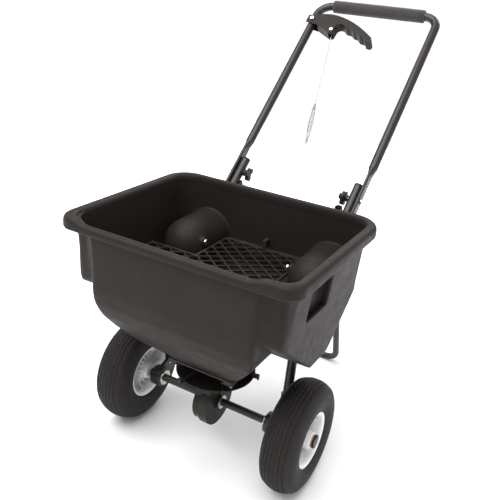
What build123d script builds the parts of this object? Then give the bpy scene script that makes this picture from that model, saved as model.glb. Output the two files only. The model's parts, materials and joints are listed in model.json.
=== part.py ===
from build123d import *
import os
from math import atan2, cos, radians, sin

# Push broadcast spreader: hopper on a tube frame, two pneumatic wheels, an axle-driven
# spinner under the hopper, and a hand lever that opens the shutter through a wire.
# Drawn with the axle along X at y = 0 and the floor at z = 0, in millimetres, then moved
# by FOOTPRINT_SHIFT so that the origin is the middle of the footprint on the floor.

FOOTPRINT_SHIFT = -273.5

# Wheels and axle
TYRE_R = 127
TYRE_W = 82
WHEEL_X = 219
RIM_R = 63
RIM_W = 68
HUB_R = 19
AXLE_R = 9
AXLE_HALF = 261
RUN = 0.05
WHEEL_RIBS = 8
PIN_ALONG = WHEEL_X - 27

# Frame tubes
TUBE_R = 11
TUBE_WALL = 1.5
LOW_X = 154
HANDLE_X = 169
GRIP_Y = 741
GRIP_Z = 967
GRIP_R = 17
GRIP_HALF = 130
KNOB_Y = 313
KNOB_Z = 571
TUBE_TOP = 36
FLAT_END = 66
NECK_END = 94
HANDLE_BEND = 38
LOW_BOLT = -40
DOME_BOLT_Y = 95
DOME_BOLT_Z = 461
BOLT_R = 4
BOLT_HEAD_R = 6.5
ELBOW_Y = 208.2
KNEE_Y = 82
KNEE_Z = 474
LEG_Y = 66
BOSS_R = 24
STAND_R = 9
STAND_X = 110
STAND_Y = 512

# Hopper
RIM_TOP = 577
RIM_DEPTH = 26
RIM_HALF_X = 266
RIM_FRONT = -211
RIM_BACK = 213
RIM_FRONT_CORNER = 38
WALL = 4
OUTLET_Z = 243
SIEVE_Z = 440
DOME_X = 164
DOME_Y = 111.5
DOME_Z = 441
DOME_R = 54
DOME_SEAT = 55.4

# Gearbox and spinner
GEARBOX_R = 58
GEARBOX_LEFT = -24
GEARBOX_RIGHT = 15.5
GEARBOX_TOP = 194
GEARBOX_WALL = 4
CROWN_R = 46
CROWN_IN_R = 34
CROWN_TEETH = 48
PINION_R = 10.4
PINION_TEETH = 12
SHAFT_R = 5
DISC_R = 90
DISC_Z = 209
VANES = 6
VANE_R = 103
VANE_TURN = 12

# Shutter, crank and wire
GATE_Z = 235.5
GATE_T = 3
GATE_TRAVEL = 14.2
PORT_X = (-34, 0, 34)
PORT_Y = 32
PORT_WIDE = 26
PORT_DEEP = 14
CRANK_Y = 150
CRANK_Z = 300
CRANK_REAR = 98
CRANK_REAR_TILT = -55
CRANK_LOW = 57
WIRE_R = 1.25

# Hand lever: its pivot up the handle from the knob, and the wire's pin in the lever's own plane
LEVER_ALONG = 518
LEVER_HALF = 14
WIRE_TOP = (70, -30)
SPRING_LOW = 0.6
SPRING_HIGH = 0.745

slope = atan2(GRIP_Z - KNOB_Z, GRIP_Y - KNOB_Y)
UP_TUBE = Vector(0, cos(slope), sin(slope))
OFF_TUBE = Vector(0, -sin(slope), cos(slope))
KNOB_POINT = Vector(0, KNOB_Y, KNOB_Z)
LEVER_PIVOT = Vector(-HANDLE_X, KNOB_Y, KNOB_Z) + UP_TUBE * LEVER_ALONG
NODES = {}


def add(name, shape):
    NODES[name] = shape


def tube_plane(along, x=0.0):
    """Plane square across the handle tubes, at a distance above the knob point."""
    return Plane(Vector(x, 0, 0) + KNOB_POINT + UP_TUBE * along, x_dir=(1, 0, 0), z_dir=UP_TUBE)


def handle_plane(origin):
    """Plane that the handle lies in: local x across, local y up the tubes."""
    return Plane(origin, x_dir=(1, 0, 0), z_dir=OFF_TUBE)


def x_disc(x0, x1, radius, y=0.0, z=TYRE_R):
    plane = Plane((x0, y, z), x_dir=(0, 1, 0), z_dir=(1, 0, 0))
    return plane * Cylinder(radius, x1 - x0, align=(Align.CENTER, Align.CENTER, Align.MIN))


def x_ring(x0, x1, outer, inner, y=0.0, z=TYRE_R):
    return x_disc(x0, x1, outer, y, z) - x_disc(x0 - 1, x1 + 1, inner, y, z)


def z_disc(z0, z1, radius, x=0.0, y=0.0):
    return Pos(x, y, z0) * Cylinder(radius, z1 - z0, align=(Align.CENTER, Align.CENTER, Align.MIN))


def block(x0, x1, y0, y1, z0, z1):
    return Pos((x0 + x1) / 2, (y0 + y1) / 2, (z0 + z1) / 2) * Box(x1 - x0, y1 - y0, z1 - z0)


def yz_slab(points, x0, x1):
    """Solid whose outline is a polygon of (y, z) points, between two x values."""
    face = Plane((x0, 0, 0), x_dir=(0, 1, 0), z_dir=(1, 0, 0)) * make_face(Polyline(*points, close=True))
    return extrude(face, x1 - x0)


def xz_slab(points, y0, y1):
    """Solid whose outline is a polygon of (x, z) points, between two y values."""
    outline = make_face(Polyline(*points, close=True))
    return extrude(Plane((0, y0, 0), x_dir=(1, 0, 0), z_dir=(0, -1, 0)) * outline, y0 - y1)


def pipe(points, radii, outer, wall=0.0):
    """Round tube along straight runs joined by tangent arcs."""
    path = FilletPolyline(*points, radius=radii) if radii else Polyline(*points)
    start = Plane(path @ 0, z_dir=path % 0)
    body = sweep(start * Circle(outer), path=path)
    if wall:
        body -= sweep(start * Circle(outer - wall), path=path)
    return body


def mirror_x(shape):
    return mirror(shape, about=Plane.YZ)


# ---------------------------------------------------------------- wheels


def wheel_rim():
    """Moulded wheel: barrel with two lips, a web, curved-in hub and ribs on both sides."""
    half = RIM_W / 2
    body = x_ring(-half, half, 57, 53)
    for side in (-1, 1):
        edge = x_ring(half - 12, half, RIM_R, 53)
        edge += x_ring(half - 4, half, RIM_R + 3, 54)
        body += edge if side > 0 else mirror_x(edge)
    body += x_ring(-2, 2, 55, HUB_R - 2)
    body += x_ring(-half, half, HUB_R, AXLE_R + 3)
    for turn in range(WHEEL_RIBS):
        rib = block(-20, 20, -1.5, 1.5, HUB_R - 1, 54)
        body += Pos(0, 0, TYRE_R) * (Rotation(360 / WHEEL_RIBS * (turn + 0.5), 0, 0) * rib)
    return body


def tyre():
    """Balloon tyre with a flattened ribbed tread, open at the rim."""
    half = TYRE_W / 2
    bead = RIM_W / 2 - 4
    seat = RIM_R + 0.05
    outline = Polyline((-bead, seat), (bead, seat))
    right = Spline((bead, seat), (half, 92), (bead - 2, 119), tangents=((0.9, 0.35), (-0.8, 0.75)))
    crown = ThreePointArc((bead - 2, 119), (0, TYRE_R), (2 - bead, 119))
    left = Spline((2 - bead, 119), (-half, 92), (-bead, seat), tangents=((-0.8, -0.75), (0.9, -0.35)))
    face = make_face(outline + right + crown + left)
    solid = revolve(Plane.XZ * face, axis=Axis.X)
    mouth = seat - 5
    inside = Spline((5 - bead, mouth), (6 - half, 92), (0, TYRE_R - 10), (half - 6, 92), (bead - 5, mouth))
    cavity = make_face(inside + Line((bead - 5, mouth), (5 - bead, mouth)))
    solid -= revolve(Plane.XZ * cavity, axis=Axis.X)
    for x in (-18, -6, 6, 18):
        groove = Cylinder(TYRE_R + 2, 3) - Cylinder(TYRE_R - 4, 3)
        solid -= Pos(x, 0, 0) * (Rotation(0, 90, 0) * groove)
    for side in (-1, 1):
        lip = Pos(side * (bead + 20), 0, 0) * (Rotation(0, 90, 0) * Cylinder(RIM_R + 3.1, 40.2))
        solid -= lip
    return Pos(0, 0, TYRE_R) * solid


def hub_bush():
    """Bush pressed in the hub, with a thrust collar on its outer end."""
    half = RIM_W / 2
    return x_ring(-half, half, HUB_R - 7, AXLE_R + RUN) + x_ring(half, half + 3, HUB_R - 4, AXLE_R + RUN)


def valve_stem():
    """Tyre valve, leaning out through the barrel of the rim."""
    stem = Pos(18, 0, TYRE_R + 43) * (Rotation(0, 52, 0) * Cylinder(3.5, 26))
    return stem - x_ring(-40, 60, 80, 53)


def drive_pin():
    """Cross pin that keys the right wheel to the axle."""
    return Pos(PIN_ALONG, 0, TYRE_R) * (Rotation(90, 0, 0) * Cylinder(2.5, 2 * HUB_R + 4))


def build_wheels():
    right = Pos(WHEEL_X, 0, 0)
    rim = right * wheel_rim()
    bush = right * hub_bush()
    stem = right * valve_stem()
    tube = right * tyre()
    add("wheel_rim_right", rim - drive_pin())
    add("wheel_rim_left", mirror_x(rim))
    add("hub_bush_right", bush - drive_pin())
    add("hub_bush_left", mirror_x(bush))
    add("valve_stem_right", stem)
    add("valve_stem_left", mirror_x(stem))
    add("tyre_right", tube)
    add("tyre_left", mirror_x(tube))


# ---------------------------------------------------------------- hopper


def hopper_form(inset):
    """Outer form of the hopper, or the space inside it when inset is the wall thickness."""
    top = RIM_TOP + 2 if inset else RIM_TOP - RIM_DEPTH + 6
    low = 440

    def rect(z, half_x, front, back, corner):
        half_x, front, back = half_x - inset, front + inset, back - inset
        sketch = RectangleRounded(2 * half_x, back - front, corner - inset)
        return Pos(0, (front + back) / 2, z) * sketch

    upper = loft([rect(low, 237, -186, 205, 40), rect(top, 247, -196, 205, 50)])
    drop = inset * 1.3
    wings = yz_slab([(inset - 186, low + 4), (inset - 186, low), (0, 300 + drop), (60, 287 + drop),
                     (205 - inset, low), (205 - inset, low + 4)], -250, 250)
    keel = OUTLET_Z + inset / 2
    wings &= xz_slab([(inset - 237, low + 4), (inset - 228, 306 + inset), (inset - 80, keel),
                      (80 - inset, keel), (228 - inset, 306 + inset), (237 - inset, low + 4)], -250, 250)
    wings &= extrude(rect(OUTLET_Z - 10, 237, -186, 205, 40), 260)
    floor = OUTLET_Z - (2 if inset else 0)
    nose = yz_slab([(inset - 200, top), (inset - 199, 430), (inset - 195, 400), (inset * 1.1 - 184, 371),
                    (inset * 1.2 - 164, 342), (inset * 1.3 - 128, 302), (inset * 1.3 - 92, 268),
                    (inset * 1.3 - 62, floor), (62 - inset * 1.3, floor), (190 - inset * 1.3, 400),
                    (190 - inset, top)], -250, 250)
    nose &= xz_slab([(inset - 188, top), (inset - 188, 412), (inset * 1.1 - 184, 388), (inset * 1.2 - 172, 360),
                     (inset * 1.3 - 140, 315), (inset * 1.3 - 76, floor), (76 - inset * 1.3, floor),
                     (140 - inset * 1.3, 315), (172 - inset * 1.2, 360), (184 - inset * 1.1, 388),
                     (188 - inset, 412), (188 - inset, top)], -250, 250)
    return upper + wings + nose


def dome(grow):
    """Recess round a frame tube: a domed tunnel from the back, open behind and below."""
    radius = DOME_R + grow
    top = Pos(DOME_X, DOME_Y, DOME_Z) * Sphere(radius)
    top += Pos(DOME_X, DOME_Y, DOME_Z) * (Rotation(-90, 0, 0) * Cylinder(
        radius, 130, align=(Align.CENTER, Align.CENTER, Align.MIN)))
    plan = Pos(DOME_X, DOME_Y) * Circle(radius)
    plan += Pos(DOME_X, DOME_Y + 65) * Rectangle(2 * radius, 130)
    return top + extrude(Pos(0, 0, 230) * plan, DOME_Z - 230)


def on_side(shape, side):
    return shape if side > 0 else mirror_x(shape)


def hopper():
    outer = hopper_form(0)
    inner = hopper_form(WALL)
    body = outer - inner
    depth = RIM_BACK - RIM_FRONT
    plan = RectangleRounded(2 * RIM_HALF_X, depth, 58) + Pos(0, -50) * RectangleRounded(
        2 * RIM_HALF_X, depth - 100, RIM_FRONT_CORNER)
    rim_ring = extrude(Pos(0, (RIM_FRONT + RIM_BACK) / 2, RIM_TOP - RIM_DEPTH) * plan, RIM_DEPTH)
    rim_ring = fillet(rim_ring.faces().sort_by(Axis.Z)[-1].edges(), 9)
    body += rim_ring - inner
    body += block(-82, 82, -70, 70, OUTLET_Z, OUTLET_Z + 4) - inner
    spout = xz_slab([(-215, RIM_TOP + 5), (-215, RIM_TOP), (-195, RIM_TOP - 10), (175, RIM_TOP - 10),
                     (200, RIM_TOP), (200, RIM_TOP + 5)], RIM_FRONT - 5, -176)
    body -= spout
    for flip in (1, -1):
        shell, space = dome(WALL), dome(0)
        shell += x_disc(DOME_X - DOME_SEAT, DOME_X - 30, 10, DOME_BOLT_Y, DOME_BOLT_Z)
        body = body + (on_side(shell, flip) & outer) - on_side(space, flip)
    skin = block(218, 246, -95, 8, 451, 540) & outer
    body = body + skin - block(222, 250, -91, 4, 455, 536)
    body -= x_disc(-140, 140, BOLT_R, DOME_BOLT_Y, DOME_BOLT_Z)
    return body - outlet_screws()


def sieve():
    """Diagonal grid that keeps lumps out, notched round the two tube recesses."""
    base = Pos(0, 9) * RectangleRounded(454, 354, 40)
    for side in (-1, 1):
        base -= Pos(side * 172, 128) * Rectangle(132, 150)
    frame = base - offset(base, -6)
    bars = Sketch()
    for tilt in (40, -40):
        for step in range(-12, 13):
            bars += Rotation(0, 0, tilt) * (Pos(0, 25 * step) * Rectangle(640, 4))
    grid = extrude(frame + (bars & base), 5)
    return Pos(0, 0, SIEVE_Z) * grid


def sieve_ledge():
    """Pegs on the hopper wall that carry the sieve."""
    pegs = Part()
    for x in (-150, 0, 150):
        pegs += block(x - 8, x + 8, -195, -160, SIEVE_Z - 8, SIEVE_Z)
    for x in (-60, 60):
        pegs += block(x - 8, x + 8, 178, 210, SIEVE_Z - 8, SIEVE_Z)
    return pegs & hopper_form(WALL)


def build_hopper():
    add("hopper", hopper())
    add("sieve_grid", sieve())
    add("sieve_pegs", sieve_ledge())
    clip = block(-5, 5, 181, 186, SIEVE_Z + 5, SIEVE_Z + 26)
    clip += block(-5, 5, 181, 210, SIEVE_Z + 20, SIEVE_Z + 26)
    add("sieve_clip", clip & hopper_form(WALL))


# ---------------------------------------------------------------- outlet, shutter, spinner


def ports(y):
    """The three openings that the granules fall through, as solids to cut away."""
    port = extrude(SlotOverall(PORT_WIDE, PORT_DEEP), 30)
    return Part() + [Pos(x, y, OUTLET_Z - 15) * port for x in PORT_X]


def outlet_plate():
    """Floor of the hopper: ports, a shaft bush seat and rails that hold the shutter."""
    plate = block(-82, 82, -70, 70, OUTLET_Z - 4.2, OUTLET_Z)
    for side in (-1, 1):
        x0, x1 = sorted((side * 62.3, side * 82))
        plate += block(x0, x1, -70, 70, GATE_Z - 3.3, OUTLET_Z - 4.2)
        x0, x1 = sorted((side * 56, side * 82))
        plate += block(x0, x1, -70, 70, GATE_Z - 3.3, GATE_Z - 0.3)
    return plate - ports(PORT_Y) - z_disc(220, 260, 9) - outlet_screws()


def outlet_screws():
    group = Part()
    for x in (-79, 79):
        for y in (-66, 66):
            group += z_disc(GATE_Z - 3.3, OUTLET_Z + 4, 1.8, x, y)
            group += z_disc(GATE_Z - 5.3, GATE_Z - 3.3, 3.2, x, y)
    return group


def gate():
    """Shutter slide: ports that line up when it moves back, and a fork for the crank."""
    plate = block(-62, 62, -60, 64, GATE_Z, GATE_Z + GATE_T)
    plate += block(-14, 14, 60, 162, GATE_Z, GATE_Z + GATE_T)
    plate -= ports(PORT_Y - GATE_TRAVEL)
    slot = SlotOverall(2 * 10 + GATE_TRAVEL + 8, 20, rotation=90)
    plate -= Pos(0, -GATE_TRAVEL / 2, GATE_Z - 2) * extrude(slot, 8)
    fork = block(-8, 8, CRANK_Y - 8, CRANK_Y + 8, GATE_Z + GATE_T, GATE_Z + GATE_T + 8)
    fork -= block(-9, 9, CRANK_Y - 4, CRANK_Y + 4, GATE_Z + GATE_T, GATE_Z + GATE_T + 9)
    return plate + fork


def spinner_disc():
    """Dished throwing disc with radial vanes and a hub."""
    disc = z_disc(DISC_Z, DISC_Z + 3, DISC_R) + z_disc(DISC_Z - 6, DISC_Z + 14, 13)
    for turn in range(VANES):
        vane = block(12, VANE_R, -1.5, 1.5, DISC_Z + 1, DISC_Z + 13)
        vane += block(VANE_R - 3, VANE_R, -6, 1.5, DISC_Z + 1, DISC_Z + 13)
        disc += Rotation(0, 0, VANE_TURN + 360 / VANES * turn) * vane
    return disc - z_disc(DISC_Z - 10, DISC_Z + 20, SHAFT_R)


def pinion():
    """Spur pinion on the spinner shaft, level with the crown gear's teeth."""
    z0, z1 = TYRE_R + CROWN_IN_R, TYRE_R + CROWN_R
    gear = z_disc(z0, z1, PINION_R - 3)
    for turn in range(PINION_TEETH):
        tooth = block(6, PINION_R, -0.7, 0.7, z0, z1)
        gear += Rotation(0, 0, 360 / PINION_TEETH * turn) * tooth
    return gear - z_disc(z0 - 1, z1 + 1, SHAFT_R)


def crown_gear():
    """Face gear on the axle whose teeth mesh with the pinion above the axle."""
    root, tip = -PINION_R - 0.8, 1.2 - PINION_R
    gear = x_disc(root - 4, root, CROWN_R) + x_disc(root - 7, root - 4, 15)
    gear -= x_disc(root - 3, root + 1, CROWN_IN_R - 3) - x_disc(root - 4, root + 2, 20)
    for turn in range(CROWN_TEETH):
        tooth = block(root, tip, -0.8, 0.8, CROWN_IN_R, CROWN_R)
        gear += Pos(0, 0, TYRE_R) * (Rotation(360 / CROWN_TEETH * (turn + 0.5), 0, 0) * tooth)
    return gear - x_disc(-40, 0, AXLE_R)


def gearbox_half(side):
    """One of the two housing shells: a drum round the axle with a squared top."""
    left = side < 0
    x0, x1 = (GEARBOX_LEFT, 0) if left else (0, GEARBOX_RIGHT)
    flange0, flange1 = (-6, 0) if left else (0, 6)
    radius = GEARBOX_R - 5 if left else GEARBOX_R
    cavity = x_disc(x0 + GEARBOX_WALL if left else -1, 1 if left else x1 - GEARBOX_WALL, GEARBOX_R - 9)
    shell = x_disc(x0, x1, radius) + x_disc(flange0, flange1, GEARBOX_R)
    shell += block(x0, x1, -44, 44, TYRE_R, GEARBOX_TOP)
    shell &= block(-60, 60, -90, 90, 30, GEARBOX_TOP)
    shell -= cavity
    shell += x_ring(x0 - 7, x0, 18, 12) if left else x_ring(x1, x1 + 7, 18, 12)
    shell -= x_disc(-60, 60, AXLE_R + 4)
    shell -= z_disc(150, 200, 12)
    return shell - gearbox_screws()


def gearbox_screws():
    """Screws round the flange of the housing, heads on the left."""
    group = Part()
    for turn in (-72, -20, 200, 252):
        y = (GEARBOX_R - 3.6) * cos(radians(turn))
        z = TYRE_R + (GEARBOX_R - 3.6) * sin(radians(turn))
        group += x_disc(-6, 5, 1.4, y, z) + x_disc(-8, -6, 2.6, y, z)
    for y in (-38, 38):
        group += x_disc(-20, 8, 1.6, y, GEARBOX_TOP - 7)
        group += x_disc(GEARBOX_LEFT - 2, -20, 3, y, GEARBOX_TOP - 7)
    return group


def agitator():
    """Spring wire through the shaft that stirs the granules over the ports."""
    return Pos(0, 0, 268) * (Rotation(0, 90, 0) * Cylinder(2, 52))


def build_drive():
    add("outlet_plate", outlet_plate())
    add("outlet_screws", outlet_screws())
    disc_pin = Pos(0, 0, DISC_Z + 10) * (Rotation(0, 90, 0) * Cylinder(1.5, 26))
    add("spinner_shaft", z_disc(157, 292, SHAFT_R) - agitator() - disc_pin)
    add("agitator_wire", agitator())
    add("spinner_disc", spinner_disc() - disc_pin)
    add("spinner_pin", disc_pin)
    add("drive_pinion", pinion())
    bush = z_disc(188, 194, 12) + z_disc(194, 197, 15)
    add("spinner_bush", bush - z_disc(180, 200, SHAFT_R + RUN))
    top_bush = z_disc(OUTLET_Z - 4.2, OUTLET_Z + 6, 9) + z_disc(OUTLET_Z, OUTLET_Z + 3, 13)
    add("outlet_bush", top_bush - z_disc(230, 260, SHAFT_R + RUN))
    add("crown_gear", crown_gear())
    add("gearbox_left", gearbox_half(-1))
    add("gearbox_right", gearbox_half(1))
    add("gearbox_screws", gearbox_screws())
    seals = x_ring(GEARBOX_LEFT - 9, GEARBOX_LEFT, AXLE_R + 4, AXLE_R + RUN)
    seals += x_ring(GEARBOX_RIGHT, GEARBOX_RIGHT + 9, AXLE_R + 4, AXLE_R + RUN)
    seals += x_ring(GEARBOX_LEFT - 9, GEARBOX_LEFT - 7, 16, AXLE_R + RUN)
    seals += x_ring(GEARBOX_RIGHT + 7, GEARBOX_RIGHT + 9, 16, AXLE_R + RUN)
    add("axle_bushes", seals)
    add("shutter_gate", gate())


# ---------------------------------------------------------------- crank and wire


def crank_end():
    tilt = radians(CRANK_REAR_TILT)
    return Vector(0, CRANK_Y + CRANK_REAR * cos(tilt), CRANK_Z + CRANK_REAR * sin(tilt))


def bar_yz(a, b, radius, x0, x1):
    """Flat link with round ends between two (y, z) points."""
    (ya, za), (yb, zb) = a, b
    length = ((yb - ya) ** 2 + (zb - za) ** 2) ** 0.5
    link = Pos(length / 2, 0, 0) * SlotCenterToCenter(length, 2 * radius)
    plane = Plane((x0, ya, za), x_dir=(0, yb - ya, zb - za), z_dir=(1, 0, 0))
    return extrude(plane * link, x1 - x0)


def crank():
    end = crank_end()
    body = bar_yz((CRANK_Y, CRANK_Z), (CRANK_Y, CRANK_Z - CRANK_LOW), 2, -2, 2)
    body += x_disc(-2, 2, 3.6, CRANK_Y, CRANK_Z - CRANK_LOW)
    body += bar_yz((CRANK_Y, CRANK_Z), (end.Y, end.Z), 6, -2, 2)
    body += x_disc(-2, 2, 9, CRANK_Y, CRANK_Z)
    body -= x_disc(-5, 5, 3 + RUN, CRANK_Y, CRANK_Z)
    return body - x_disc(-5, 5, 3.4, end.Y, end.Z)


def crank_bracket():
    """Ears under the hopper's rear slope that carry the crank's pin."""
    def slope_z(y):
        return OUTLET_Z + (y - 62) * (400 - OUTLET_Z) / (190 - 62) - 2 * (190 - y) / 128
    y0, y1 = CRANK_Y - 13, CRANK_Y + 13
    outline = [(y0, CRANK_Z - 9), (y1, CRANK_Z - 9), (y1, slope_z(y1) - 0.02), (y0, slope_z(y0) - 0.02)]
    ears = yz_slab(outline, 2.5, 6) + yz_slab(outline, -6, -2.5)
    web = [(y0, CRANK_Z + 24), (y1, CRANK_Z + 24), outline[2], outline[3]]
    ears += yz_slab(web, -6, 6)
    return ears - x_disc(-10, 10, 3, CRANK_Y, CRANK_Z)


def build_control():
    add("crank", crank())
    add("crank_bracket", crank_bracket())
    pin = x_disc(-8, 8, 3, CRANK_Y, CRANK_Z)
    pin += x_disc(6, 8, 5, CRANK_Y, CRANK_Z) + x_disc(-8, -6, 5, CRANK_Y, CRANK_Z)
    add("crank_pin", pin)
    local = handle_plane(LEVER_PIVOT)
    top = local.from_local_coords(Vector(WIRE_TOP[0], WIRE_TOP[1], 0))
    end = crank_end()
    start = Vector(6, end.Y, end.Z)
    run = (top - start).normalized()
    total = (top - start).length
    spring0, spring1 = SPRING_LOW * total, SPRING_HIGH * total
    lower = x_disc(-7, 7, WIRE_R, end.Y, end.Z)
    lower += extrude(Plane(start, z_dir=run) * Circle(WIRE_R), spring0)
    add("wire_lower", lower)
    coil = Plane(start + run * spring0, z_dir=run)
    size = spring1 - spring0
    profile = [(0, 0), (3, 0), (6.5, size * 0.4), (6.5, size * 0.6), (3, size), (0, size)]
    spring = revolve(Plane.XZ * make_face(Polyline(*profile, close=True)), axis=Axis.Z)
    add("wire_spring", coil * spring)
    upper = extrude(Plane(start + run * spring1, z_dir=run) * Circle(WIRE_R), total - spring1 - 4)
    add("wire_upper", upper)


# ---------------------------------------------------------------- frame and handle


def lower_tube():
    """Side tube: down the handle's slope, level through the hopper's dome, then down to the axle."""
    top = KNOB_POINT + UP_TUBE * TUBE_TOP
    points = [(0, top.Y, top.Z), (0, ELBOW_Y, KNEE_Z), (0, KNEE_Y, KNEE_Z), (0, LEG_Y, TYRE_R + 14)]
    return Pos(LOW_X, 0, 0) * pipe(points, 45, TUBE_R, TUBE_WALL)


def axle_boss():
    """Plate between the tube's foot and the axle, with a bearing boss."""
    outer, inner = LOW_X + 4, LOW_X - 4
    plate = bar_yz((0, TYRE_R), (LEG_Y - 14, TYRE_R + 24), 20, inner, outer)
    boss = x_disc(LOW_X - 12, LOW_X + 12, BOSS_R)
    sleeve = extrude(Plane((LOW_X, LEG_Y, TYRE_R + 10), z_dir=(0, 0, 1)) * Circle(TUBE_R + 3), 30)
    body = plate + boss + sleeve
    leg = Pos(LOW_X, 0, 0) * pipe([(0, KNEE_Y, KNEE_Z), (0, LEG_Y, TYRE_R + 14)], None, TUBE_R)
    return body - leg - x_disc(LOW_X - 20, LOW_X + 20, AXLE_R + 4)


def stand():
    """U-shaped stand whose bar rests on the floor and whose legs bolt inside the lower tubes."""
    top = KNOB_POINT + UP_TUBE * LOW_BOLT
    x = LOW_X - TUBE_R - STAND_R
    foot = Vector(STAND_X, STAND_Y, STAND_R)
    end = Vector(x, top.Y, top.Z)
    end += (end - foot).normalized() * 14
    points = [(-end.X, end.Y, end.Z), (-foot.X, foot.Y, foot.Z), tuple(foot), tuple(end)]
    body = pipe(points, 36, STAND_R, TUBE_WALL)
    return body - x_disc(-LOW_X, LOW_X, BOLT_R, top.Y, top.Z)


def handle():
    """Bent U tube whose two ends are flattened where they bolt to the lower tubes."""
    low = KNOB_POINT + UP_TUBE * NECK_END
    points = [(-HANDLE_X, low.Y, low.Z), (-HANDLE_X, GRIP_Y, GRIP_Z), (HANDLE_X, GRIP_Y, GRIP_Z),
              (HANDLE_X, low.Y, low.Z)]
    body = pipe(points, HANDLE_BEND, TUBE_R, TUBE_WALL)
    for side in (-1, 1):
        x = side * (LOW_X + TUBE_R + 4.05)
        neck = loft([tube_plane(NECK_END, side * HANDLE_X) * Circle(TUBE_R),
                     tube_plane(FLAT_END, x) * (Rotation(0, 0, 90) * SlotOverall(27, 8))])
        tail = LOW_BOLT - 22
        flat = extrude(tube_plane(tail, x) * (Rotation(0, 0, 90) * SlotOverall(27, 8)), FLAT_END - tail)
        body += neck + flat
    for along in (0, LOW_BOLT):
        centre = KNOB_POINT + UP_TUBE * along
        body -= x_disc(-190, 190, BOLT_R, centre.Y, centre.Z)
    body -= Plane(LEVER_PIVOT, z_dir=OFF_TUBE) * Cylinder(3, 60)
    return body


def knob():
    """Three-lobed hand knob, threaded on the bolt's inner end."""
    outer = LOW_X - TUBE_R - 1
    hub = x_disc(outer - 18, outer, 8, KNOB_Y, KNOB_Z)
    for turn in range(3):
        y = KNOB_Y + 11 * cos(radians(120 * turn + 30))
        z = KNOB_Z + 11 * sin(radians(120 * turn + 30))
        hub += x_disc(outer - 18, outer - 7, 7, y, z)
    return hub - x_disc(outer - 16, outer + 1, BOLT_R + RUN, KNOB_Y, KNOB_Z)


def axle_bearing():
    """Flanged bush in the boss that the axle turns in."""
    bush = x_ring(LOW_X - 16, LOW_X + 12, AXLE_R + 4, AXLE_R + RUN)
    return bush + x_ring(LOW_X - 16, LOW_X - 12, BOSS_R - 6, AXLE_R + RUN)


def tube_cap():
    """Plug and cover that close a lower tube's upper end."""
    cover = extrude(tube_plane(TUBE_TOP + 0.05, LOW_X) * Circle(TUBE_R), 5)
    return cover + extrude(tube_plane(TUBE_TOP - 12, LOW_X) * Circle(TUBE_R - TUBE_WALL - 0.05), 13)


def frame_bolts():
    """Bolts at the knob, at the stand and at the hopper, on the right-hand side."""
    outer = LOW_X + TUBE_R + 8.1
    inner = LOW_X - TUBE_R - 2 * STAND_R - 0.6
    low = KNOB_POINT + UP_TUBE * LOW_BOLT
    knob_bolt = x_disc(LOW_X - TUBE_R - 15, outer, BOLT_R, KNOB_Y, KNOB_Z)
    knob_bolt += x_disc(outer, outer + 5, BOLT_HEAD_R, KNOB_Y, KNOB_Z)
    stand_bolt = x_disc(inner - 8, outer, BOLT_R, low.Y, low.Z)
    stand_bolt += x_disc(outer, outer + 5, BOLT_HEAD_R, low.Y, low.Z)
    stand_bolt += x_disc(inner - 6, inner, BOLT_HEAD_R, low.Y, low.Z)
    end = LOW_X + TUBE_R
    seat = DOME_X - DOME_SEAT
    dome_bolt = x_disc(seat - 4, end + 7, BOLT_R, DOME_BOLT_Y, DOME_BOLT_Z)
    dome_bolt += x_disc(seat - 5, seat, 7, DOME_BOLT_Y, DOME_BOLT_Z)
    dome_bolt += x_disc(end, end + 7, BOLT_HEAD_R, DOME_BOLT_Y, DOME_BOLT_Z)
    return knob_bolt, stand_bolt, dome_bolt


def build_frame():
    through = Part()
    for along in (0, LOW_BOLT):
        centre = KNOB_POINT + UP_TUBE * along
        through += x_disc(120, 180, BOLT_R, centre.Y, centre.Z)
    through += x_disc(100, 180, BOLT_R, DOME_BOLT_Y, DOME_BOLT_Z)
    knob_bolt, stand_bolt, dome_bolt = frame_bolts()
    pairs = {"lower_tube": lower_tube() - through, "axle_boss": axle_boss(),
             "axle_bearing": axle_bearing(), "tube_cap": tube_cap(), "knob": knob()}
    for name, shape in pairs.items():
        add(f"{name}_right", shape)
        add(f"{name}_left", mirror_x(shape))
    add("knob_bolts", knob_bolt + mirror_x(knob_bolt))
    add("handle_bolts", stand_bolt + mirror_x(stand_bolt))
    add("hopper_bolts", dome_bolt + mirror_x(dome_bolt))
    add("handle", handle())
    add("stand", stand())
    add("foam_grip", x_ring(-GRIP_HALF, GRIP_HALF, GRIP_R, TUBE_R, GRIP_Y, GRIP_Z))


# ---------------------------------------------------------------- hand lever


def lever():
    """Curved hand lever that forks round the handle tube, with finger waves below."""
    upper = Spline((-14, 11), (18, 19), (50, 23), (92, 15), (128, 0), (164, -22), (190, -41))
    tip = Polyline((190, -41), (194, -51), (190, -59), (178, -57))
    lower = Spline((178, -57), (166, -45), (156, -43), (145, -33), (134, -30), (122, -21),
                   (110, -19), (98, -10), (84, -8))
    guard = Polyline((84, -8), (78, -14), (76, -40), (64, -42), (24, -20), (-14, -13), (-14, 11))
    face = make_face(upper + tip + lower + guard)
    body = extrude(face, LEVER_HALF, both=True)
    body -= Pos(-8, 0, 0) * Box(60, 160, 2 * TUBE_R + 1)
    body -= Cylinder(3 + RUN, 60)
    body -= Pos(WIRE_TOP[0], WIRE_TOP[1] - 14, 0) * Box(12, 40, 12)
    body -= Pos(WIRE_TOP[0], WIRE_TOP[1], 0) * Cylinder(2.5, 60)
    return handle_plane(LEVER_PIVOT) * body


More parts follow.
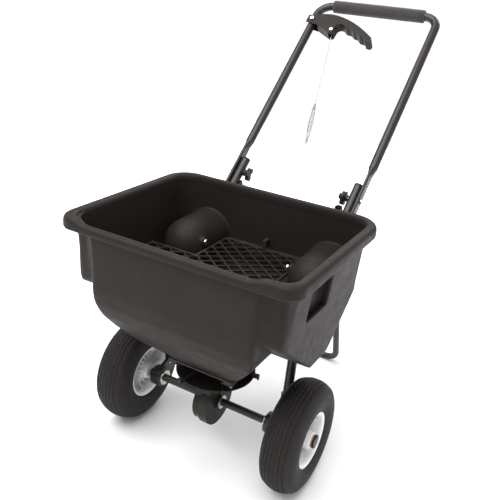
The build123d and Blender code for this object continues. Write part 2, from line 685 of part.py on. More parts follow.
def build_lever():
    plane = handle_plane(LEVER_PIVOT)
    add("lever", lever())
    bolt = Cylinder(3, 2 * LEVER_HALF + 2)
    for side in (-1, 1):
        bolt += Pos(0, 0, side * (LEVER_HALF + 2.1)) * Cylinder(6, 4)
    add("lever_bolt", plane * bolt)
    pin = Cylinder(2.5, 2 * LEVER_HALF) + Pos(0, 0, LEVER_HALF + 1) * Cylinder(5, 2)
    add("wire_pin", plane * (Pos(WIRE_TOP[0], WIRE_TOP[1], 0) * pin))


def build_axle():
    pin = drive_pin()
    add("axle", x_disc(-AXLE_HALF, AXLE_HALF, AXLE_R) - pin)
    add("drive_pin", pin)
    gap = WHEEL_X - RIM_W / 2
    washers = x_ring(gap - 8, gap - 0.4, 14, AXLE_R) + x_ring(LOW_X + 12.4, LOW_X + 16, 14, AXLE_R)
    add("axle_spacers", washers + mirror_x(washers))
    cap = x_disc(WHEEL_X + RIM_W / 2 + 3.4, AXLE_HALF, 15) - x_disc(200, 270, AXLE_R)
    add("axle_cap_right", cap)
    add("axle_cap_left", mirror_x(cap))


build_hopper()
build_drive()
build_control()
build_frame()
build_lever()
build_axle()
build_wheels()

os.makedirs("parts", exist_ok=True)
for node, shape in NODES.items():
    export_step(Pos(0, FOOTPRINT_SHIFT, 0) * shape, f"parts/{node}.step")
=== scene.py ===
import json
from math import cos, pi, radians, sin, tau

import bmesh
import bpy
import numpy as np
from mathutils import Matrix, Vector

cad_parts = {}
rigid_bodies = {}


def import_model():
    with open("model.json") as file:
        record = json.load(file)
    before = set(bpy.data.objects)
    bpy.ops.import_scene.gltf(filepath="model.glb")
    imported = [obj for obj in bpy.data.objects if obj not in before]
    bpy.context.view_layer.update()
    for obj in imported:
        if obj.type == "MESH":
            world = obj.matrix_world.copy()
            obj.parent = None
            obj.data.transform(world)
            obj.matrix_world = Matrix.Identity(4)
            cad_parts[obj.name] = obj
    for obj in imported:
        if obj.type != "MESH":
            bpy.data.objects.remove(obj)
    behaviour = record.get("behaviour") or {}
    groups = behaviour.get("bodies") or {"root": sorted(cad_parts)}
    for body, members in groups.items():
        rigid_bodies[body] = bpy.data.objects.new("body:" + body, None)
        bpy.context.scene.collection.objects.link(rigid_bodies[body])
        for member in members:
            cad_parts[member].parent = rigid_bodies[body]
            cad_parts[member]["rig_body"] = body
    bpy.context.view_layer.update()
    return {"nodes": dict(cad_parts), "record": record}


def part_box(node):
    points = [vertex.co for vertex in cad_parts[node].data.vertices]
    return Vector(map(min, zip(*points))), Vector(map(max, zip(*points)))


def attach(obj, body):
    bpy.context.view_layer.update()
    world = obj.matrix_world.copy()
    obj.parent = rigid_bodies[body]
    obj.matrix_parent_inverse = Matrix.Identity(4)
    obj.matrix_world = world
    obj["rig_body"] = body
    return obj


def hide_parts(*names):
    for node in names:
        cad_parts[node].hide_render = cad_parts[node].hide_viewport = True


# Looks of the push broadcast spreader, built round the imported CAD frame. Metres, +Z up,
# the hopper's front faces -Y and the handle rises towards +Y.

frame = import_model()
MM = 0.001


def middle(node):
    low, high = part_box(node)
    return (low + high) / 2


AXLE = middle("axle")


def at(x, y, z):
    """A point given in millimetres from the axle's line on the floor."""
    return Vector((x * MM, AXLE.y + y * MM, z * MM))


# ---------------------------------------------------------------- camera, lights, floor

CAMERA_TURN = 27.667
CAMERA_RISE = 23.439
CAMERA_ROLL = 5.162
CAMERA_FAR = 1.4418
CAMERA_LENS = 46.63
CAMERA_AIM = at(8.9, 97.1, 473.5)

# Watts of the area lights, strengths of the world, and metres over which the floor turns white.
OVERHEAD_POWER = 124
SIDE_POWER = 9
REAR_POWER = 22
ROOM_LIGHT = 0.6
BACKDROP_LIGHT = 1.1
SWEEP_GLOW = (0.6, 2.2)


def add_camera():
    """Camera above the front right corner, rolled a little, as a hand-held view is."""
    turn, rise, roll = radians(CAMERA_TURN), radians(CAMERA_RISE), radians(CAMERA_ROLL)
    back = Vector((sin(turn) * cos(rise), -cos(turn) * cos(rise), sin(rise)))
    right = Vector((cos(turn), sin(turn), 0))
    up = back.cross(right)
    side = right * cos(roll) + up * sin(roll)
    top = up * cos(roll) - right * sin(roll)
    data = bpy.data.cameras.new("camera")
    data.lens = CAMERA_LENS
    data.sensor_width = 36
    data.clip_start = 0.05
    camera = bpy.data.objects.new("camera", data)
    bpy.context.scene.collection.objects.link(camera)
    turned = Matrix((side, top, back)).transposed().to_4x4()
    camera.matrix_world = Matrix.Translation(CAMERA_AIM + back * CAMERA_FAR) @ turned
    bpy.context.scene.camera = camera


def add_area(name, place, target, size, power):
    data = bpy.data.lights.new(name, "AREA")
    data.shape = "RECTANGLE"
    data.size, data.size_y = size
    data.energy = power
    light = bpy.data.objects.new(name, data)
    bpy.context.scene.collection.objects.link(light)
    light.location = place
    light.rotation_euler = (target - place).to_track_quat("-Z", "Y").to_euler()


def add_studio():
    """Three soft area lights in a pale room; only the camera sees the brighter backdrop."""
    aim = at(0, 0, 450)
    add_area("overhead", at(-400, -750, 2600), aim, (3.0, 2.4), OVERHEAD_POWER)
    add_area("side", at(2200, 450, 700), aim, (0.8, 1.4), SIDE_POWER)
    add_area("rear", at(-300, 1900, 1900), aim, (2.2, 1.2), REAR_POWER)
    bpy.context.scene.view_settings.view_transform = "Standard"
    world = bpy.data.worlds.new("studio")
    bpy.context.scene.world = world
    world.use_nodes = True
    nodes, links = world.node_tree.nodes, world.node_tree.links
    sky = nodes["Background"]
    sky.inputs["Color"].default_value = (1, 1, 1, 1)
    sky.inputs["Strength"].default_value = ROOM_LIGHT
    backdrop = nodes.new("ShaderNodeBackground")
    backdrop.inputs["Color"].default_value = (1, 1, 1, 1)
    backdrop.inputs["Strength"].default_value = BACKDROP_LIGHT
    seen = nodes.new("ShaderNodeLightPath")
    blend = nodes.new("ShaderNodeMixShader")
    links.new(seen.outputs["Is Camera Ray"], blend.inputs["Fac"])
    links.new(sky.outputs["Background"], blend.inputs[1])
    links.new(backdrop.outputs["Background"], blend.inputs[2])
    links.new(blend.outputs["Shader"], nodes["World Output"].inputs["Surface"])


# ---------------------------------------------------------------- materials


class Shader:
    """A principled material with a short way to add the nodes that vary it."""

    def __init__(self, name, **fixed):
        self.material = bpy.data.materials.new(name)
        self.material.use_nodes = True
        self.tree = self.material.node_tree
        self.out = self.tree.nodes["Principled BSDF"]
        place = self.tree.nodes.new("ShaderNodeTexCoord")
        self.place = place.outputs["Object"]
        for key, value in fixed.items():
            self.out.inputs[key.replace("_", " ")].default_value = value

    def noise(self, scale, detail=3.0, rough=0.55, stretch=None):
        node = self.tree.nodes.new("ShaderNodeTexNoise")
        node.inputs["Scale"].default_value = scale
        node.inputs["Detail"].default_value = detail
        node.inputs["Roughness"].default_value = rough
        self.tree.links.new(self.stretched(stretch), node.inputs["Vector"])
        return node.outputs["Fac"]

    def cells(self, scale):
        node = self.tree.nodes.new("ShaderNodeTexVoronoi")
        node.inputs["Scale"].default_value = scale
        self.tree.links.new(self.place, node.inputs["Vector"])
        return node.outputs["Distance"]

    def stretched(self, stretch):
        if stretch is None:
            return self.place
        node = self.tree.nodes.new("ShaderNodeMapping")
        node.inputs["Scale"].default_value = stretch
        self.tree.links.new(self.place, node.inputs["Vector"])
        return node.outputs["Vector"]

    def ramp(self, source, stops):
        node = self.tree.nodes.new("ShaderNodeValToRGB")
        ramp = node.color_ramp
        while len(ramp.elements) < len(stops):
            ramp.elements.new(0.5)
        for element, (position, colour) in zip(ramp.elements, stops):
            element.position = position
            element.color = (*colour, 1)
        self.tree.links.new(source, node.inputs["Fac"])
        return node.outputs["Color"]

    def spread(self, source, low, high, start=0.3, end=0.7):
        node = self.tree.nodes.new("ShaderNodeMapRange")
        node.inputs["From Min"].default_value = start
        node.inputs["From Max"].default_value = end
        node.inputs["To Min"].default_value = low
        node.inputs["To Max"].default_value = high
        self.tree.links.new(source, node.inputs["Value"])
        return node.outputs["Result"]

    def mix(self, factor, first, second):
        node = self.tree.nodes.new("ShaderNodeMix")
        node.data_type = "RGBA"
        self.tree.links.new(factor, node.inputs["Factor"])
        for source, name in ((first, "A"), (second, "B")):
            socket = [s for s in node.inputs if s.name == name and s.type == "RGBA"][0]
            if isinstance(source, tuple):
                socket.default_value = (*source, 1)
            else:
                self.tree.links.new(source, socket)
        return [s for s in node.outputs if s.type == "RGBA"][0]

    def edges(self, start=0.52, end=0.6):
        """1 on convex edges, 0 on flats, from how pointed the surface is."""
        node = self.tree.nodes.new("ShaderNodeNewGeometry")
        return self.spread(node.outputs["Pointiness"], 0.0, 1.0, start, end)

    def bump(self, *layers):
        """Stacks bumps, each given as (height, depth in metres, strength)."""
        normal = None
        for height, depth, strength in layers:
            node = self.tree.nodes.new("ShaderNodeBump")
            node.inputs["Distance"].default_value = depth
            node.inputs["Strength"].default_value = strength
            self.tree.links.new(height, node.inputs["Height"])
            if normal:
                self.tree.links.new(normal, node.inputs["Normal"])
            normal = node.outputs["Normal"]
        self.tree.links.new(normal, self.out.inputs["Normal"])

    def drive(self, name, source):
        self.tree.links.new(source, self.out.inputs[name])


def shades(colour, spread):
    """Darker and lighter neighbours of a colour."""
    return tuple(c * (1 - spread) for c in colour), tuple(min(c * (1 + spread), 1) for c in colour)


def plastic(name, colour, rough, grain=0.00012, grain_scale=1400, spread=0.12, **fixed):
    """Moulded plastic: fine spark-eroded grain, faint flow marks and rubbed edges."""
    shader = Shader(name, **fixed)
    dark, light = shades(colour, spread)
    clouds = shader.noise(9.0, 5.0)
    base = shader.ramp(clouds, [(0.3, dark), (0.7, light)])
    rubbed = shader.mix(shader.edges(), base, tuple(min(c * 1.8 + 0.01, 1) for c in colour))
    shader.drive("Base Color", rubbed)
    shader.drive("Roughness", shader.spread(shader.noise(40.0, 6.0), rough - 0.05, rough + 0.07))
    shader.bump((shader.noise(grain_scale, 2.0), grain, 0.6),
                (shader.noise(14.0, 2.0), 0.0006, 0.25))
    return shader.material


def painted(name, colour, rough):
    """Powder coat on steel tube: orange peel, cloudy sheen and a few small scuffs."""
    shader = Shader(name, Coat_Weight=0.12, Coat_Roughness=0.25, Specular_IOR_Level=0.35)
    dark, light = shades(colour, 0.14)
    base = shader.ramp(shader.noise(22.0, 4.0), [(0.3, dark), (0.7, light)])
    scuffs = shader.ramp(shader.noise(70.0, 6.0), [(0.66, (0, 0, 0)), (0.74, (0.3, 0.3, 0.3))])
    shader.drive("Base Color", shader.mix(scuffs, base, (0.07, 0.062, 0.057)))
    shader.drive("Roughness", shader.spread(shader.noise(160.0, 4.0), rough - 0.06, rough + 0.08))
    shader.bump((shader.noise(900.0, 1.0), 0.00008, 0.5))
    return shader.material


def rubber(name, colour, rough):
    """Tyre rubber: dull, a little dusty in patches, with a fine skin texture."""
    shader = Shader(name, Specular_IOR_Level=0.25)
    dark, light = shades(colour, 0.2)
    base = shader.ramp(shader.noise(60.0, 6.0), [(0.3, dark), (0.72, light)])
    dust = shader.ramp(shader.noise(16.0, 4.0), [(0.55, (0, 0, 0)), (0.8, (0.18, 0.18, 0.18))])
    shader.drive("Base Color", shader.mix(dust, base, (0.05, 0.044, 0.040)))
    shader.drive("Roughness", shader.spread(shader.noise(120.0, 5.0), rough - 0.07, rough + 0.09))
    shader.bump((shader.noise(1300.0, 2.0), 0.0001, 0.55), (shader.noise(220.0, 2.0), 0.00012, 0.3))
    return shader.material


def foam(name, colour):
    """Closed-cell foam sleeve: open pores and a matte, slightly furry skin."""
    shader = Shader(name, Sheen_Weight=0.35, Sheen_Roughness=0.5, Specular_IOR_Level=0.25)
    dark, light = shades(colour, 0.22)
    shader.drive("Base Color", shader.ramp(shader.noise(90.0, 5.0), [(0.3, dark), (0.7, light)]))
    shader.drive("Roughness", shader.spread(shader.noise(300.0, 4.0), 0.78, 0.95))
    shader.bump((shader.cells(1100.0), 0.0003, 0.5), (shader.noise(420.0, 3.0), 0.0002, 0.4))
    return shader.material


def metal(name, colour, rough, stretch=(1, 1, 1), scale=300.0, **fixed):
    """Plated or turned metal with fine tool marks and a cloudy plating."""
    shader = Shader(name, Metallic=1.0, **fixed)
    dark, light = shades(colour, 0.1)
    shader.drive("Base Color", shader.ramp(shader.noise(110.0, 5.0), [(0.35, dark), (0.68, light)]))
    marks = shader.noise(scale, 4.0, stretch=stretch)
    shader.drive("Roughness", shader.spread(marks, rough - 0.06, rough + 0.12))
    shader.bump((marks, 0.00004, 0.4))
    return shader.material


def white_plastic(name):
    """Glossy white wheel moulding with faint grey flow lines and painted shade near the roots."""
    shader = Shader(name, Coat_Weight=0.2, Coat_Roughness=0.2, Subsurface_Weight=0.04)
    base = shader.ramp(shader.noise(26.0, 5.0),
                       [(0.3, (0.66, 0.665, 0.67)), (0.7, (0.77, 0.775, 0.775))])
    # Painted shade: hollow places such as the roots of the ribs are darkened by multiplying the
    # colour.
    painted_root_shade = shader.ramp(shader.edges(0.44, 0.5), [(0.0, (0.42, 0.42, 0.41)), (1.0, (1, 1, 1))])
    node = shader.tree.nodes.new("ShaderNodeMix")
    node.data_type = "RGBA"
    node.blend_type = "MULTIPLY"
    node.inputs["Factor"].default_value = 0.55
    sockets = [s for s in node.inputs if s.type == "RGBA"]
    shader.tree.links.new(base, sockets[0])
    shader.tree.links.new(painted_root_shade, sockets[1])
    shader.drive("Base Color", [s for s in node.outputs if s.type == "RGBA"][0])
    shader.drive("Roughness", shader.spread(shader.noise(90.0, 4.0), 0.3, 0.44))
    shader.bump((shader.noise(700.0, 2.0), 0.00006, 0.4))
    return shader.material


def floor_material():
    """Pale studio sweep: far from the object it glows as white as the backdrop it meets."""
    shader = Shader("studio_floor", Specular_IOR_Level=0.2)
    base = shader.ramp(shader.noise(3.0, 3.0),
                       [(0.3, (0.93, 0.93, 0.93)), (0.7, (0.95, 0.95, 0.95))])
    shader.drive("Base Color", base)
    shader.drive("Roughness", shader.spread(shader.noise(30.0, 3.0), 0.7, 0.85))
    shader.bump((shader.noise(500.0, 2.0), 0.0001, 0.2))
    away = shader.tree.nodes.new("ShaderNodeVectorMath")
    away.operation = "LENGTH"
    shader.tree.links.new(shader.place, away.inputs[0])
    shader.drive("Emission Strength", shader.spread(away.outputs["Value"], 0.0, 1.0, *SWEEP_GLOW))
    return shader.material


LOOKS = {
    "black_hopper": plastic("hopper_plastic", (0.0175, 0.0138, 0.0130), 0.48,
                            Specular_IOR_Level=0.1),
    "black_plastic": plastic("black_plastic", (0.0125, 0.0100, 0.0090), 0.42,
                             Specular_IOR_Level=0.14),
    "gearbox_plastic": plastic("gearbox_plastic", (0.014, 0.0155, 0.0125), 0.4,
                               Specular_IOR_Level=0.16),
    "frame_paint": painted("frame_paint", (0.016, 0.0125, 0.0110), 0.36),
    "white_wheel": white_plastic("wheel_plastic"),
    "tyre_rubber": rubber("tyre_rubber", (0.013, 0.011, 0.0100), 0.66),
    "foam": foam("grip_foam", (0.030, 0.026, 0.0245)),
    "zinc": metal("zinc_plate", (0.66, 0.65, 0.62), 0.26),
    "bronze": metal("sintered_bronze", (0.52, 0.38, 0.2), 0.42, scale=900.0),
    "brass": metal("turned_brass", (0.78, 0.63, 0.27), 0.2, stretch=(1, 1, 6)),
    "gear_plastic": plastic("gear_nylon", (0.62, 0.6, 0.52), 0.4),
}
WIRE_STEEL = metal("wire_steel", (0.42, 0.42, 0.42), 0.42, scale=900.0)


# ---------------------------------------------------------------- mesh helpers


def new_piece(name, verts, faces, material, body, smooth=True):
    mesh = bpy.data.meshes.new(name)
    mesh.from_pydata([tuple(v) for v in verts], [], faces)
    mesh.validate()
    mesh.update()
    return place_piece(name, mesh, material, body, smooth)


def place_piece(name, mesh, material, body, smooth=True):
    mesh.materials.clear()
    mesh.materials.append(material)
    if smooth:
        mesh.shade_smooth()
    piece = bpy.data.objects.new(name, mesh)
    bpy.context.scene.collection.objects.link(piece)
    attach(piece, body)
    return piece


def ring_faces(rings, count, closed_rings=True, loop_rows=False):
    """Quads between rows of points: each row holds count points."""
    faces = []
    rows = rings if loop_rows else rings - 1
    columns = count if closed_rings else count - 1
    for row in range(rows):
        low, high = row * count, ((row + 1) % rings) * count
        for column in range(columns):
            after = (column + 1) % count
            faces.append((low + column, low + after, high + after, high + column))
    return faces


def fix_normals(mesh):
    work = bmesh.new()
    work.from_mesh(mesh)
    bmesh.ops.recalc_face_normals(work, faces=work.faces)
    work.to_mesh(mesh)
    work.free()


def modified(piece, *settings):
    """Applies modifiers, each given as (type, {settings}), and leaves plain mesh."""
    for kind, values in settings:
        modifier = piece.modifiers.new(kind.lower(), kind)
        for key, value in values.items():
            setattr(modifier, key, value)
    depsgraph = bpy.context.evaluated_depsgraph_get()
    result = bpy.data.meshes.new_from_object(piece.evaluated_get(depsgraph))
    piece.modifiers.clear()
    piece.data = result
    return piece


def revolved(name, outline, segments, centre, material, body, shift=None):
    """Closed (x, r) outline in mm turned about the axle's direction; shift(x, r, angle) moves r."""
    verts = []
    for step in range(segments):
        angle = tau * step / segments
        for x, r in outline:
            radius = r + (shift(x, r, angle) if shift else 0)
            verts.append(centre + Vector((x, radius * cos(angle), radius * sin(angle))) * MM)
    faces = ring_faces(segments, len(outline), loop_rows=True)
    piece = new_piece(name, verts, faces, material, body)
    fix_normals(piece.data)
    return piece


def softened(node, width, slot=None, segments=2, sharp=32):
    """A copy of a CAD node with every sharp edge rounded over by width in mm."""
    source = frame["nodes"][node]
    work = bmesh.new()
    work.from_mesh(source.data)
    bmesh.ops.remove_doubles(work, verts=work.verts, dist=0.02 * MM)
    bmesh.ops.dissolve_limit(work, angle_limit=radians(0.6), verts=work.verts, edges=work.edges)
    edges = [e for e in work.edges if e.is_manifold and e.calc_face_angle() > radians(sharp)]
    bmesh.ops.bevel(work, geom=edges, offset=width * MM, segments=segments, profile=0.6,
                    affect="EDGES", clamp_overlap=True)
    bmesh.ops.triangulate(work, faces=[f for f in work.faces if len(f.verts) > 4])
    mesh = bpy.data.meshes.new(f"{node}_shape")
    work.to_mesh(mesh)
    work.free()
    slot = slot or slot_of(node)
    piece = place_piece(f"{node}_shape", mesh, LOOKS[slot], source["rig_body"])
    modified(piece, ("WEIGHTED_NORMAL", {"keep_sharp": False, "weight": 80}))
    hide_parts(node)
    return piece


def slot_of(node):
    rows = [row for row in frame["record"]["subparts"] if row["node"] == node]
    return rows[0]["material_slot"]


def rounded_rectangle(half_x, front, back, rear_corner, front_corner, straight=40, bend=28):
    """Points round a rounded rectangle in mm, anticlockwise, the same count for any size."""
    points = []
    centres = [(half_x - front_corner, front + front_corner, front_corner, -90),
               (half_x - rear_corner, back - rear_corner, rear_corner, 0),
               (rear_corner - half_x, back - rear_corner, rear_corner, 90),
               (front_corner - half_x, front + front_corner, front_corner, 180)]
    for index, (x, y, corner, start) in enumerate(centres):
        arc = [start + 90 * step / bend for step in range(bend + 1)]
        points += [(x + corner * cos(radians(a)), y + corner * sin(radians(a))) for a in arc]
        nx, ny, after, turn = centres[(index + 1) % 4]
        first = points[-1]
        last = (nx + after * cos(radians(turn)), ny + after * sin(radians(turn)))
        for step in range(1, straight):
            part = step / straight
            points.append((first[0] + (last[0] - first[0]) * part,
                           first[1] + (last[1] - first[1]) * part))
    return np.array(points)


def smooth_step(value, low, high):
    part = np.clip((value - low) / (high - low), 0, 1)
    return part * part * (3 - 2 * part)


def tube_along(points, radii, sides=16, close=True):
    """Vertices and faces of a round tube through a list of points."""
    points = [Vector(p) for p in points]
    verts, faces = [], []
    normal = Vector((0, 0, 1))
    for index, point in enumerate(points):
        before = points[max(index - 1, 0)]
        after = points[min(index + 1, len(points) - 1)]
        along = (after - before).normalized()
        if index == 0:
            normal = along.orthogonal().normalized()
        normal = (normal - along * normal.dot(along)).normalized()
        across = along.cross(normal)
        for side in range(sides):
            angle = tau * side / sides
            verts.append(point + (normal * cos(angle) + across * sin(angle)) * radii[index])
    faces = ring_faces(len(points), sides)
    if close:
        faces.append(tuple(reversed(range(sides))))
        faces.append(tuple(range((len(points) - 1) * sides, len(points) * sides)))
    return verts, faces


# ---------------------------------------------------------------- hopper

RIM_OUT = (266.4, -211.4, 213.4, 56, 36)
RIM_IN = (242.2, -191.2, 200.2, 46, 30)
RIM_BASE = 551
RIM_HIGH = 577.6
SPOUT_DIP = 10.5
CORNER_X = 198
CORNER_Y = -147
CORNER_POWER = 5


def spout_dip(x, y):
    """How far the lip sinks at this place, from 0 to 1: the low front lip between two S-steps."""
    across = smooth_step(x, -228, -196) * (1 - smooth_step(x, 172, 206))
    return across * (1 - smooth_step(y, -182, -158))


def hopper_rim():
    """Rolled lip round the hopper's mouth."""
    outer = rounded_rectangle(*RIM_OUT)
    inner = rounded_rectangle(*RIM_IN)
    section = [(0.10, -0.1), (0.05, 0.1), (0.01, 0.3), (0.0, 0.5), (0.03, 0.68), (0.10, 0.83),
               (0.22, 0.94), (0.38, 0.99), (0.55, 1.0), (0.72, 0.97), (0.86, 0.88), (0.95, 0.74),
               (0.99, 0.58), (1.0, 0.4), (1.0, 0.2), (0.995, 0.08), (0.96, 0.0), (0.9, -0.02),
               (0.86, 0.03), (0.86, 0.12), (0.5, 0.05)]
    verts = []
    for across, rise in section:
        plan = inner + (outer - inner) * across
        dip = spout_dip(plan[:, 0], plan[:, 1]) * SPOUT_DIP
        height = RIM_BASE + rise * (RIM_HIGH - RIM_BASE - dip)
        verts += [at(x, y, z) for (x, y), z in zip(plan, height)]
    faces = ring_faces(len(section), len(outer), loop_rows=True)
    rim = new_piece("hopper_rim", verts, faces, LOOKS["black_hopper"], "frame")
    fix_normals(rim.data)
    return rim


def sculpt_hopper(mesh):
    """Tucks the lip under the rim, and steps the front corners back and sharpens them."""
    count = len(mesh.vertices)
    points = np.empty(count * 3)
    mesh.vertices.foreach_get("co", points)
    points = points.reshape(-1, 3)
    x, y, z = points[:, 0] / MM, (points[:, 1] - AXLE.y) / MM, points[:, 2] / MM
    above = z > RIM_BASE - 6
    z = np.where(above, RIM_BASE - 6 + (z - RIM_BASE + 6) * 0.8, z)
    front = 1 - smooth_step(y, -178, -150)
    corner = smooth_step(np.abs(x), 188, 212)
    upright = smooth_step(z, 430, 530) * (1 - smooth_step(z, 544, 556))
    y = y + 7 * front * corner * upright
    across, along = np.abs(x) - CORNER_X, CORNER_Y - y
    inside = (across > 0) & (along > 0)
    angle = np.arctan2(np.where(inside, along, 0), np.where(inside, across, 1))
    square = (np.cos(angle) ** CORNER_POWER + np.sin(angle) ** CORNER_POWER) ** (-1 / CORNER_POWER)
    wall = smooth_step(z, 400, 450) * (1 - smooth_step(z, 542, 550))
    grow = np.where(inside, (square - 1) * wall, 0)
    x = x + np.sign(x) * across * grow
    y = y - along * grow
    points = np.stack([x * MM, y * MM + AXLE.y, z * MM], 1)
    mesh.vertices.foreach_set("co", points.ravel())
    mesh.update()


def blend_nose(body):
    """Melts the crease where the nose stands proud of the wings, as thick moulded plastic does."""
    group = body.vertex_groups.new(name="nose_edge")
    for vertex in body.data.vertices:
        x, y, z = abs(vertex.co.x) / MM, (vertex.co.y - AXLE.y) / MM, vertex.co.z / MM
        near = smooth_step(x, 120, 150) * (1 - smooth_step(x, 214, 232))
        near *= (1 - smooth_step(y, -120, -70)) * (1 - smooth_step(z, 500, 540))
        if near > 0:
            group.add([vertex.index], float(near), "REPLACE")
    modified(body, ("SMOOTH", {"factor": 0.5, "iterations": 60, "vertex_group": "nose_edge"}))
    body.vertex_groups.clear()


def hopper_body():
    """The moulded bucket, with soft corners everywhere."""
    mesh = frame["nodes"]["hopper"].data.copy()
    body = place_piece("hopper_body", mesh, LOOKS["black_hopper"], "frame")
    modified(body, ("REMESH", {"mode": "VOXEL", "voxel_size": 2.2 * MM, "use_smooth_shade": True}),
             ("SMOOTH", {"factor": 0.5, "iterations": 9}))
    sculpt_hopper(body.data)
    blend_nose(body)
    modified(body, ("SMOOTH", {"factor": 0.5, "iterations": 4}),
             ("DECIMATE", {"ratio": 0.4}))
    body.data.shade_smooth()
    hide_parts("hopper")
    return body


# ---------------------------------------------------------------- wheels

TREAD_R = 127.0
WHEEL_BODIES = {"left": "left_wheel", "right": "drive_axle"}
OUTER_RIB = [(19, 1, 17), (28, 1, 13), (38, 1, 13.5), (47, 1, 17), (54, 1, 23)]
INNER_RIB = [(19, 1, 24), (27, 1, 18), (36, 1, 16), (45, 1, 19), (54, 1, 26)]


def tyre_outline():
    """Half section of the tyre as (x, r), from bead to bead, with the inside wall closing it."""
    outside = [(-30, 62.6), (-33.5, 64), (-35.8, 67.5), (-37.6, 73), (-39.6, 80), (-40.8, 87),
               (-41.2, 94), (-40.2, 101), (-38.0, 107.5), (-35.2, 112.5), (-32.6, 116.2)]
    tread = []
    steps = 46
    for step in range(steps + 1):
        x = -30.5 + 61 * step / steps
        tread.append((x, 118.4 + 8.6 * (1 - (abs(x) / 30.5) ** 2.1)))
    other = [(-x, r) for x, r in reversed(outside)]
    inside = [(26, 62.6), (33, 84), (30, 104), (16, 115), (0, 117.5), (-16, 115), (-30, 104),
              (-33, 84), (-26, 62.6)]
    return outside + tread + other + inside


def tread_cut(x, r, angle):
    """Circumferential zigzag ribs, shoulder notches and fine rings on the sidewall."""
    if r < 62.7 or (abs(x) < 34 and r < 117.9):
        return 0
    if abs(x) <= 31:
        wave = abs((angle * 64 / tau) % 1 - 0.5) * 4 - 1
        cut = 0
        for centre in (-22.5, -13.5, -4.5, 4.5, 13.5, 22.5):
            off = abs(x - centre - 1.7 * wave)
            cut = max(cut, 1 - smooth_step(off, 0.7, 1.9))
        return -2.4 * float(cut)
    notch = abs((angle * 96 / tau) % 1 - 0.5) * 2
    if r > 107:
        return -1.1 * float(smooth_step(notch, 0.55, 0.8))
    return 0.35 * sin(r * 2.6)


def build_tyre(side):
    centre = AXLE.copy()
    centre.x = middle(f"tyre_{side}").x
    centre.z = middle(f"tyre_{side}").z
    piece = revolved(f"tyre_{side}_tread", tyre_outline(), 512, centre, LOOKS["tyre_rubber"],
                     WHEEL_BODIES[side], shift=tread_cut)
    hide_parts(f"tyre_{side}")


def rib_plate(start, profile, twist, thick, facing):
    """A rib from hub to barrel as (verts, faces): profile rows are (r, low x, high x)."""
    verts = []
    for r, low, high in profile:
        part = (r - profile[0][0]) / (profile[-1][0] - profile[0][0])
        angle = start + twist * part
        radial = np.array([cos(angle), sin(angle)])
        side = np.array([-sin(angle), cos(angle)])
        for offset, x in ((-thick, low), (-thick * 0.55, high), (thick * 0.55, high), (thick, low)):
            y, z = radial * r + side * offset
            verts.append((x * facing, y, z))
    rows = len(profile)
    faces = ring_faces(rows, 4)
    faces += [(3, 2, 1, 0), tuple(range((rows - 1) * 4, rows * 4))]
    return verts, faces


def wheel_outline():
    """Closed section of the moulded wheel as (x, r): lips, barrel, web and hub."""
    half = [(2.2, 24), (3.4, 21.5), (7, 20.2), (30, 18.8), (32.8, 18.2), (34, 17), (34, 12.3)]
    barrel = [(2.2, 49), (3.6, 51.6), (8, 52.8), (24, 54), (29.5, 55.2), (31.8, 57.6), (32.6, 61),
              (33.2, 64.4), (33.4, 66), (32.6, 66.6), (31, 66.5), (30.0, 65.4), (29.2, 62.8),
              (26, 62.5), (16, 60.5), (8, 59.2)]
    right = list(reversed(half)) + barrel
    left = [(-x, r) for x, r in reversed(right)]
    return right + left


def build_wheel(side):
    """White moulded wheel: straight ribs and gussets outside, swirled ribs inside."""
    node = f"wheel_rim_{side}"
    outward = 1 if side == "right" else -1
    centre = middle(node)
    verts, faces = [], []
    outline = wheel_outline()
    segments = 160
    for step in range(segments):
        angle = tau * step / segments
        verts += [(x, r * cos(angle), r * sin(angle)) for x, r in outline]
    faces += ring_faces(segments, len(outline), loop_rows=True)
    parts = []
    for turn in range(8):
        angle = tau * (turn + 0.5) / 8
        parts.append(rib_plate(angle, OUTER_RIB, 0.0, 1.5, outward))
    for turn in range(14):
        angle = tau * turn / 14
        parts.append(rib_plate(angle, INNER_RIB, 0.5, 1.3, -outward))
    for rib_verts, rib_faces in parts:
        base = len(verts)
        verts += rib_verts
        faces += [tuple(base + i for i in face) for face in rib_faces]
    points = [centre + Vector(v) * MM for v in verts]
    piece = new_piece(f"wheel_{side}_moulding", points, faces, LOOKS["white_wheel"],
                      WHEEL_BODIES[side])
    fix_normals(piece.data)
    modified(piece, ("BEVEL", {"width": 0.5 * MM, "segments": 2, "angle_limit": radians(50)}),
             ("WEIGHTED_NORMAL", {"keep_sharp": False, "weight": 80}))
    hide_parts(node)


def build_wheels():
    for side in WHEEL_BODIES:
        build_tyre(side)
        build_wheel(side)


# ---------------------------------------------------------------- handle, lever and wire


def build_grip():
    """Foam sleeve with rounded, slightly pinched ends."""
    low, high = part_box("foam_grip")
    half = (high.x - low.x) / 2 / MM
    outer = (high.z - low.z) / 2 / MM
    outline = [(-half, 11.2), (-half, outer - 3.2), (-half + 0.9, outer - 1.2),
               (-half + 3, outer - 0.2)]
    steps = 60
    for step in range(1, steps):
        x = -half + 3 + (2 * half - 6) * step / steps
        outline.append((x, outer + 0.12 * sin(x * 0.11) - 0.15 * abs(x) / half))
    outline += [(half - 3, outer - 0.2), (half - 0.9, outer - 1.2), (half, outer - 3.2),
                (half, 11.2)]
    piece = revolved("grip_sleeve", outline, 64, middle("foam_grip"), LOOKS["foam"], "frame")
    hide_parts("foam_grip")


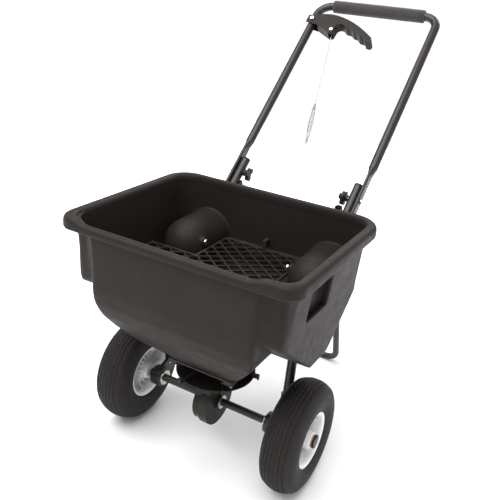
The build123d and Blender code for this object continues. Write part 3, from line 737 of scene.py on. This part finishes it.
def build_spring():
    """Tension spring in the wire: close coils, fatter in the middle."""
    low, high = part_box("wire_spring")
    source = frame["nodes"]["wire_spring"].data
    points = np.array([v.co for v in source.vertices])
    centre = points.mean(0)
    axis = np.linalg.svd(points - centre, full_matrices=False)[2][0]
    axis = axis * (1 if axis[2] > 0 else -1)
    spans = (points - centre) @ axis
    start, end = spans.min(), spans.max()
    length = end - start
    side = np.cross(axis, [1.0, 0, 0])
    side /= np.linalg.norm(side)
    other = np.cross(axis, side)
    wire, turns, steps = 0.75 * MM, 42, 20
    path = []
    for step in range(turns * steps + 1):
        part = step / (turns * steps)
        along = start + wire + (length - 2 * wire) * part
        bulge = sin(pi * part) ** 0.8
        radius = (2.4 + 3.3 * bulge) * MM
        angle = tau * step / steps
        path.append(centre + axis * along + (side * cos(angle) + other * sin(angle)) * radius)
    verts, faces = tube_along(path, [wire] * len(path), sides=8)
    piece = new_piece("spring_coils", verts, faces, WIRE_STEEL, "control_wire")
    fix_normals(piece.data)
    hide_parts("wire_spring")


# ---------------------------------------------------------------- whole object

# Width in mm of the rounded edges on the CAD nodes that keep their shape.
SOFT_EDGES = {
    "sieve_grid": 0.5, "sieve_clip": 0.7, "gearbox_left": 2.2, "gearbox_right": 2.2,
    "spinner_disc": 0.7, "outlet_plate": 0.6, "knob_left": 2.0, "knob_right": 2.0, "lever": 3.0,
    "axle_boss_left": 1.5, "axle_boss_right": 1.5, "axle_cap_left": 1.2, "axle_cap_right": 1.2,
    "tube_cap_left": 1.8, "tube_cap_right": 1.8, "axle_spacers": 0.5, "knob_bolts": 0.9,
    "handle_bolts": 0.9, "hopper_bolts": 1.2, "lever_bolt": 1.2, "wire_pin": 0.7, "crank": 0.5,
    "crank_bracket": 0.8, "shutter_gate": 0.4, "axle": 1.0, "axle_bushes": 0.5,
    "axle_bearing_left": 0.6, "axle_bearing_right": 0.6,
}

PLATED = ("axle_bushes", "axle_bearing_left", "axle_bearing_right")


def add_floor():
    """A flat square of floor, in metres, just under the tyres."""
    size = 6.0
    centre = at(0, 200, 0)
    verts = []
    steps = 24
    for row in range(steps + 1):
        for column in range(steps + 1):
            verts.append(centre + Vector(((column / steps - 0.5) * size,
                                          (row / steps - 0.5) * size, -0.0002)))
    faces = ring_faces(steps + 1, steps + 1, closed_rings=False)
    mesh = bpy.data.meshes.new("studio_floor")
    mesh.from_pydata([tuple(v) for v in verts], [], faces)
    mesh.materials.append(floor_material())
    floor = bpy.data.objects.new("studio_floor", mesh)
    bpy.context.scene.collection.objects.link(floor)


def finish_cad_nodes():
    """Gives every CAD node its material; the wire's nodes share one dull steel."""
    for name, node in frame["nodes"].items():
        look = LOOKS[slot_of(name)]
        if name.startswith("wire_"):
            look = WIRE_STEEL
        node.data.materials.clear()
        node.data.materials.append(look)


add_camera()
add_studio()
add_floor()
finish_cad_nodes()
hopper_body()
hopper_rim()
build_wheels()
build_grip()
build_spring()
for node, width in SOFT_EDGES.items():
    softened(node, width, "zinc" if node in PLATED else None)
